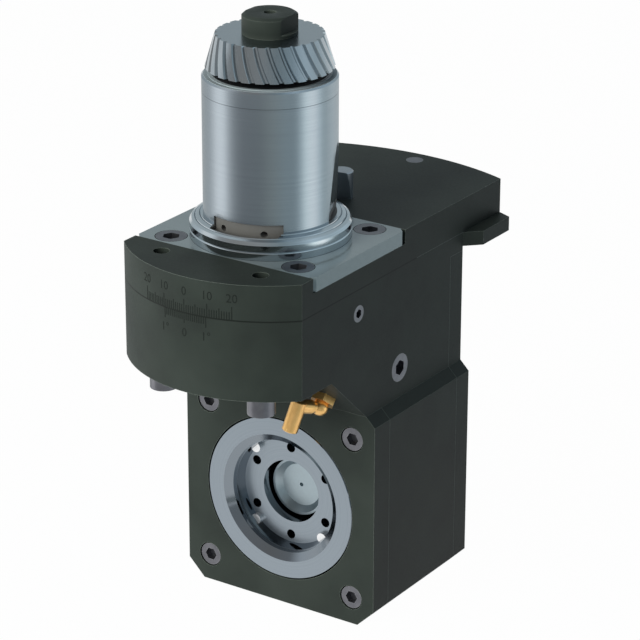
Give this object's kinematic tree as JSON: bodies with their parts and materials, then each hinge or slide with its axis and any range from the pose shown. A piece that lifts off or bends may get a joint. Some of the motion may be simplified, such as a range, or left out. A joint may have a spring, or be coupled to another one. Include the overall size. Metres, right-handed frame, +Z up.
{
  "type": "thread whirling unit",
  "caption": "Driven turret head with a round clamping shank, bevel drive gear, graduated swivel plate and a recessed ring spindle that carries a thread whirling cutter.",
  "frame": {"origin": "on the shank's axis, in the plane of the flange face that seats on the turret", "axes": "+Z up along the shank, away from the gearbox; -Y is the way the whirling spindle looks; +X is the right side seen from the front"},
  "size_m": [0.0996, 0.178, 0.2648],
  "materials": {
    "polished_steel": "ground and polished steel",
    "gear_steel": "hobbed and hardened steel",
    "ground_steel": "surface ground steel",
    "blackened_steel": "black oxide on milled steel",
    "screw_steel": "zinc plated steel",
    "bearing_steel": "ground bearing steel",
    "seal_rubber": "moulded nitrile rubber",
    "nozzle_brass": "turned brass"
  },
  "bodies": {
    "upper_unit": {"shank_sleeve": "polished_steel", "end_ring": "polished_steel", "shaft_seal": "seal_rubber", "lower_circlip": "screw_steel", "shank_collar": "polished_steel", "flange_plate": "ground_steel", "flange_screws": "screw_steel", "upper_plate": "blackened_steel", "rear_plug": "blackened_steel", "locating_pin": "ground_steel", "front_clamp_screws": "screw_steel", "rear_clamp_screw": "screw_steel", "clamp_washers": "ground_steel", "upper_bearing_outer_ring": "bearing_steel", "lower_bearing_outer_ring": "bearing_steel"},
    "swivel_head": {"swivel_body": "blackened_steel", "front_cover": "blackened_steel", "front_cover_screws": "screw_steel", "rear_cover": "blackened_steel", "rear_cover_screws": "screw_steel", "set_screw": "screw_steel", "coolant_plug": "screw_steel", "bore_cap": "polished_steel", "nozzle_base": "nozzle_brass", "spindle_seal": "seal_rubber", "counter_front_bearing_outer_ring": "bearing_steel", "counter_rear_bearing_outer_ring": "bearing_steel", "spindle_front_bearing_outer_ring": "bearing_steel", "spindle_rear_bearing_outer_ring": "bearing_steel"},
    "drive_spindle": {"drive_shaft": "ground_steel", "drive_gear": "gear_steel", "gear_bolt": "blackened_steel", "gear_key": "ground_steel", "shaft_spacer": "ground_steel", "drive_pinion": "gear_steel", "upper_bearing_inner_ring": "bearing_steel", "lower_bearing_inner_ring": "bearing_steel"},
    "counter_shaft": {"counter_shaft": "ground_steel", "counter_bevel_gear": "gear_steel", "counter_spur_gear": "gear_steel", "counter_spacers": "ground_steel", "counter_nut": "blackened_steel", "counter_front_bearing_inner_ring": "bearing_steel", "counter_rear_bearing_inner_ring": "bearing_steel"},
    "whirling_spindle": {"whirling_spindle": "ground_steel", "drive_pins": "screw_steel", "spindle_gear": "gear_steel", "spindle_spacers": "ground_steel", "spindle_nut": "blackened_steel", "spindle_front_bearing_inner_ring": "bearing_steel", "spindle_rear_bearing_inner_ring": "bearing_steel"},
    "coolant_nozzle": {"nozzle": "nozzle_brass"}
  },
  "joints": [
    {"name": "head_swivel", "type": "hinge", "parent": "upper_unit", "child": "swivel_head", "pos_m": [0, 0, 0], "axis": [0, 0, 1], "range_deg": [-20, 20]},
    {"name": "whirling_spin", "type": "hinge", "parent": "swivel_head", "child": "whirling_spindle", "pos_m": [0, 0.04, -0.1218], "axis": [0, 1, 0], "continuous": true},
    {"name": "counter_spin", "type": "hinge", "parent": "swivel_head", "child": "counter_shaft", "pos_m": [0, 0.04, -0.0558], "axis": [0, 1, 0], "continuous": true},
    {"name": "drive_spin", "type": "hinge", "parent": "swivel_head", "child": "drive_spindle", "pos_m": [0, 0, 0.03], "axis": [0, 0, 1], "continuous": true},
    {"name": "nozzle_swivel", "type": "hinge", "parent": "swivel_head", "child": "coolant_nozzle", "pos_m": [0.03, -0.00958, -0.06828], "axis": [0, -0.6797, -0.7335], "range_deg": [-15, 15]}
  ],
  "couplings": [
    {"joint": "counter_spin", "follows": "whirling_spin", "ratio": -1.5385},
    {"joint": "drive_spin", "follows": "whirling_spin", "ratio": 1.5385}
  ]
}
